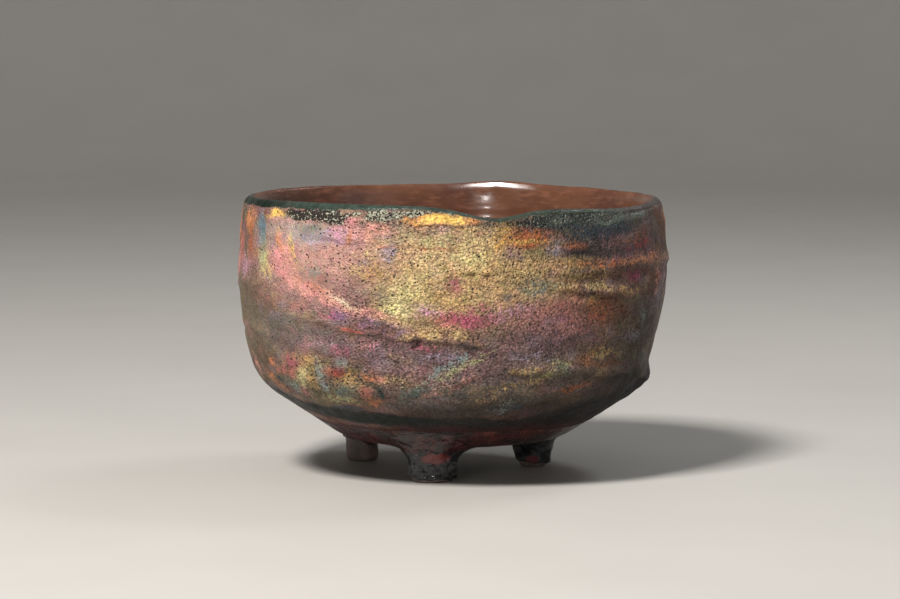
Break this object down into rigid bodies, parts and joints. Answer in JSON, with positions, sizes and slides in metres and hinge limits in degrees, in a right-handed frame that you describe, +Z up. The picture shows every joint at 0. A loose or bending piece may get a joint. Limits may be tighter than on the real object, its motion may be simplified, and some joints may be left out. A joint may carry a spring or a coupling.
{
  "type": "matcha bowl",
  "caption": "Handmade tea bowl with a waved lip, a matte many-coloured glaze outside, a glossy brown inside and short feet.",
  "frame": {"origin": "centre of the bowl's box, on the surface that the three feet stand on", "axes": "+Z up through the bowl's mouth, -Y towards the side with the drinking dip in the lip, +X to the right of it"},
  "size_m": [0.1246, 0.1222, 0.0807],
  "materials": {
    "stoneware_clay": "matte",
    "copper_matte_glaze": "matte",
    "rim_glaze": "gloss",
    "interior_glaze": "gloss",
    "base_glaze": "satin",
    "foot_glaze": "gloss"
  },
  "bodies": {
    "root": {"clay_bowl": "stoneware_clay", "foot_front": "stoneware_clay", "foot_left": "stoneware_clay", "foot_right": "stoneware_clay", "copper_matte_glaze": "copper_matte_glaze", "rim_glaze": "rim_glaze", "interior_glaze": "interior_glaze", "base_glaze": "base_glaze", "foot_left_glaze": "base_glaze", "foot_front_glaze": "foot_glaze", "foot_right_glaze": "foot_glaze"}
  },
  "joints": []
}
